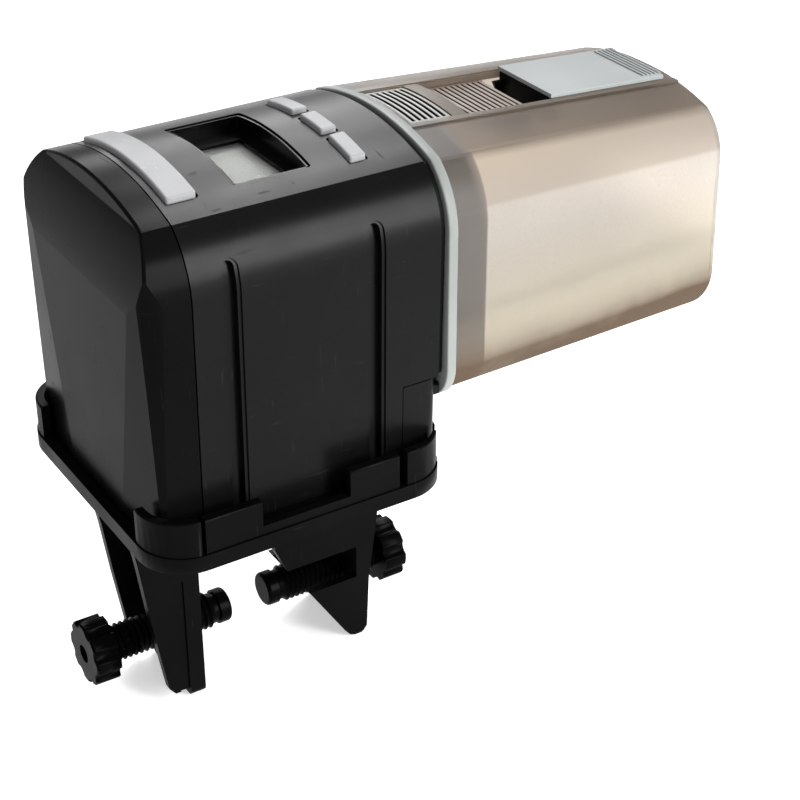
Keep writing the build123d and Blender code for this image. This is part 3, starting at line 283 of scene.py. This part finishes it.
def food_drum():
    """The smoke-tinted drum: frosted, with an amber cast, painted shade laid over it by position, and a
    painted brown shade along its lower edge.
    """
    material = clear_plastic("drum_smoke", (0.83, 0.765, 0.70), (0.95, 0.89, 0.82), (0.29, 0.38),
                             DRUM_TRANSMISSION, speck=0.3)
    tree, shader, space, colour = reopen(material)
    for weights, start, full, share, shade in DRUM_TINTS_AND_SHADES:
        factor = combine(tree, along(tree, space, weights, start, full), share, "MULTIPLY")
        colour = tint(tree, factor, colour, shade)
    # The painted brown shade along the lower edge wavers a little, starts slowly, and is held between 0 and 1
    brown = along(tree, space, BROWN_WEIGHTS, BROWN_START, BROWN_FULL)
    waver = spread(tree, noise(tree, space, BROWN_WAVER_SCALE), -BROWN_WAVER, BROWN_WAVER)
    brown = combine(tree, combine(tree, brown, waver), BROWN_EASE, "POWER")
    brown = spread(tree, brown, 0.0, 1.0, (0.0, 1.0))
    tree.links.new(tint(tree, brown, colour, (0.11, 0.078, 0.055)), shader.inputs["Base Color"])
    clearness = spread(tree, brown, DRUM_TRANSMISSION, BROWN_TRANSMISSION, BROWN_SPAN)
    tree.links.new(clearness, shader.inputs["Transmission Weight"])
    frosting = shader.inputs["Roughness"].links[0].from_socket
    frosting = combine(tree, frosting, combine(tree, brown, BROWN_FROSTING, "MULTIPLY"))
    tree.links.new(frosting, shader.inputs["Roughness"])
    shader.inputs["Specular Tint"].default_value = (*grey(DRUM_REFLECTION), 1)
    shader.inputs["Specular IOR Level"].default_value = DRUM_SPECULAR
    return material


def louvred(name, dark, light, top, bottom, shade):
    """A moulding with painted shade in its slots: its colour falls to the shade colour from top to bottom, in
    mm, measured below the drum's crown, which slopes along X and curves across Y."""
    material = plastic(name, dark, light, (0.35, 0.5), specular=0.4)
    tree, shader, space, face = reopen(material)
    square = tree.nodes.new("ShaderNodeVectorMath")
    square.operation = "MULTIPLY"
    tree.links.new(space, square.inputs[0])
    tree.links.new(space, square.inputs[1])
    height = combine(tree, weigh(tree, space, (CROWN_SLOPE, 0, 1)),
                     weigh(tree, square.outputs["Vector"], (0, CROWN_CURVE, 0)))
    depth = spread(tree, height, 0.0, 1.0, (CROWN_LEVEL - top * MM, CROWN_LEVEL - bottom * MM))
    tree.links.new(tint(tree, depth, face, shade), shader.inputs["Base Color"])
    return material


# ---------------------------------------------------------------- the object's materials
shell_black = plastic("housing_black", (0.0028, 0.0028, 0.0030), (0.0042, 0.0042, 0.0044), (0.27, 0.31),
                      specular=0.08, worn=grey(0.016))
cap_black = plastic("cap_black", (0.0022, 0.0022, 0.0024), (0.0036, 0.0036, 0.0038), (0.22, 0.28),
                    specular=0.02, worn=grey(0.012))
tray_black = plastic("bracket_black", (0.0012, 0.0013, 0.0013), (0.0022, 0.0024, 0.0024), (0.30, 0.40),
                     grain=2200.0, grain_depth=0.03, specular=0.035, worn=grey(0.012))
knob_black = plastic("knob_black", grey(0.0010), grey(0.0018), (0.26, 0.38), specular=0.02, worn=grey(0.010))
bezel_black = plastic("bezel_black", (0.0018, 0.0018, 0.0020), (0.0030, 0.0030, 0.0033), (0.18, 0.26),
                      specular=0.08)
inner_black = plastic("inner_black", grey(0.002), grey(0.004), (0.45, 0.6), specular=0.05)
button_grey = plastic("button_grey", (0.30, 0.305, 0.31), (0.36, 0.365, 0.37), (0.36, 0.46),
                      specular=0.12, worn=grey(0.62))
slider_grey = plastic("slider_grey", (0.33, 0.35, 0.35), (0.38, 0.40, 0.40), (0.34, 0.46), specular=0.12)
collar_grey = plastic("collar_grey", (0.235, 0.25, 0.24), (0.285, 0.30, 0.29), (0.36, 0.48), specular=0.15)
# The grille's and the ramp's slots get painted shade, darker with depth below the crown
grille_grey = louvred("grille_grey", (0.26, 0.265, 0.25), (0.34, 0.345, 0.33), 0.45, 0.65, grey(0.006))
ramp_brown = louvred("ramp_brown", (0.105, 0.068, 0.046), (0.175, 0.12, 0.084), 2.3, 2.7,
                     (0.008, 0.005, 0.004))
lcd_face = plastic("lcd_face", (0.50, 0.505, 0.475), (0.55, 0.555, 0.525), (0.5, 0.6), specular=0.01)
drum_smoke = food_drum()
window_clear = display_pane()
acetal = plastic("acetal", (0.68, 0.66, 0.60), (0.74, 0.72, 0.67), (0.35, 0.5))
board_green = plastic("board_green", (0.015, 0.12, 0.05), (0.03, 0.17, 0.07), (0.3, 0.45))
sleeve_blue = plastic("battery_sleeve", (0.03, 0.05, 0.10), (0.05, 0.08, 0.15), (0.2, 0.35))
steel = metal("steel", (0.45, 0.45, 0.46), (0.62, 0.62, 0.63))
nickel = metal("nickel", (0.6, 0.6, 0.58), (0.75, 0.75, 0.73), (0.15, 0.3))
brass = metal("brass", (0.55, 0.40, 0.17), (0.68, 0.52, 0.25))

finishes = {
    shell_black: ["main_housing", "battery_cover"],
    cap_black: ["rear_cap"],
    tray_black: ["bracket"],
    knob_black: ["clamp_screw_left", "clamp_screw_right", "clamp_pad_left", "clamp_pad_right"],
    bezel_black: ["display_bezel"],
    inner_black: ["front_bulkhead", "button_switches", "battery_cradle", "gearbox_rear_plate",
                  "gearbox_front_plate", "drive_hub", "metering_wall"],
    button_grey: ["feed_button", "set_button", "plus_button", "mode_button"],
    slider_grey: ["feed_slider"],
    collar_grey: ["drum_collar"],
    grille_grey: ["vent_grille"],
    ramp_brown: ["metering_ramp"],
    lcd_face: ["lcd_module"],
    drum_smoke: ["drum_shell"],
    window_clear: ["display_window"],
    acetal: ["compound_gear", "output_gear"],
    board_green: ["circuit_board"],
    sleeve_blue: ["battery_near", "battery_far"],
    steel: ["bulkhead_screws", "board_screws", "motor", "motor_shaft", "compound_axle", "output_shaft",
            "gearbox_screws"],
    nickel: ["battery_contacts"],
    brass: ["motor_pinion", "shaft_bush"],
}
for material, names in finishes.items():
    for name in names:
        piece = nodes[name]
        piece.data.materials.clear()
        piece.data.materials.append(material)


def soften(name, width):
    """Round a CAD node's hard edges slightly, as a moulding's are."""
    piece = nodes[name]
    weld = piece.modifiers.new("weld", "WELD")
    weld.merge_threshold = WELD_DISTANCE
    round_off = piece.modifiers.new("round", "BEVEL")
    round_off.width = width
    round_off.segments = ROUND_SEGMENTS
    round_off.limit_method = "ANGLE"
    round_off.angle_limit = math.radians(ROUND_ANGLE)
    round_off.harden_normals = True
    round_off.use_clamp_overlap = True


# Radius of each rounded node's edges, in mm
edge_rounding = {
    "battery_cover": 0.25, "bracket": 0.3, "display_bezel": 0.15, "drum_collar": 0.2,
    "feed_slider": 0.12, "clamp_screw_left": 0.15, "clamp_screw_right": 0.15,
}
for name, width in edge_rounding.items():
    soften(name, width * MM)


# ---------------------------------------------------------------- stage
def floor():
    """A plain white floor just under the feet, a little lit of itself so that it shows white all over."""
    mesh = bpy.data.meshes.new("floor")
    shape = bmesh.new()
    bmesh.ops.create_grid(shape, x_segments=FLOOR_CELLS, y_segments=FLOOR_CELLS, size=FLOOR_SIZE)
    shape.to_mesh(mesh)
    shape.free()
    piece = bpy.data.objects.new("floor", mesh)
    bpy.context.scene.collection.objects.link(piece)
    piece.location.z = cad_box[0][2] - FLOOR_DROP
    material, tree, shader, space = node_material("floor_white")
    drift = noise(tree, space, FLOOR_DRIFT_SCALE)
    tree.links.new(tint(tree, drift, grey(0.93), grey(0.95)), shader.inputs["Base Color"])
    shader.inputs["Roughness"].default_value = 0.9
    shader.inputs["Emission Color"].default_value = (1, 1, 1, 1)
    shader.inputs["Emission Strength"].default_value = FLOOR_GLOW
    piece.data.materials.append(material)


def area_light(name, place, target, size, power):
    """A white softbox at one place that faces another. Sizes are in metres and power is in watts."""
    data = bpy.data.lights.new(name, "AREA")
    data.shape = "RECTANGLE"
    data.size, data.size_y = size
    data.energy = power
    lamp = bpy.data.objects.new(name, data)
    lamp.location = place
    lamp.rotation_euler = (Vector(target) - Vector(place)).to_track_quat("-Z", "Y").to_euler()
    bpy.context.scene.collection.objects.link(lamp)


floor()
area_light("key_top", (0.05, 0.0, 1.4), MIDDLE, (1.4, 1.2), 2)
# Three boxes beyond the object, from high to low, for the reflections on its top
area_light("deck_high", (0.75, 0.80, 1.43), (0.0, -0.02, 0.08), (0.36, 0.42), 14)
area_light("deck_mid", (0.75, 1.20, 1.08), HOUSING_TOP, (0.36, 0.5), 6)
area_light("back_sheen", (0.72, 1.45, 0.62), HOUSING_TOP, (0.5, 0.34), 4)
# One box beyond the near side, for the band of light along its shoulder, and a weak one for the rear face
area_light("side_band", (0.56, -1.12, 0.45), (0.0, -0.03, 0.07), (0.4, 0.78), 21)
area_light("rear_soft", (-1.2, 0.1, 0.5), MIDDLE, (0.7, 0.7), 0.5)

world = bpy.data.worlds.new("studio")
world.use_nodes = True
background = world.node_tree.nodes["Background"]
background.inputs["Color"].default_value = (1, 1, 1, 1)
background.inputs["Strength"].default_value = WORLD_GLOW
bpy.context.scene.world = world
bpy.context.scene.view_settings.view_transform = "Standard"

camera_data = bpy.data.cameras.new("camera")
camera_data.lens = CAMERA_LENS
camera_data.sensor_width = CAMERA_SENSOR
camera = bpy.data.objects.new("camera", camera_data)
camera.location = CAMERA_PLACE
camera.rotation_euler = Vector(CAMERA_AIM).to_track_quat("-Z", "Y").to_euler()
bpy.context.scene.collection.objects.link(camera)
bpy.context.scene.camera = camera
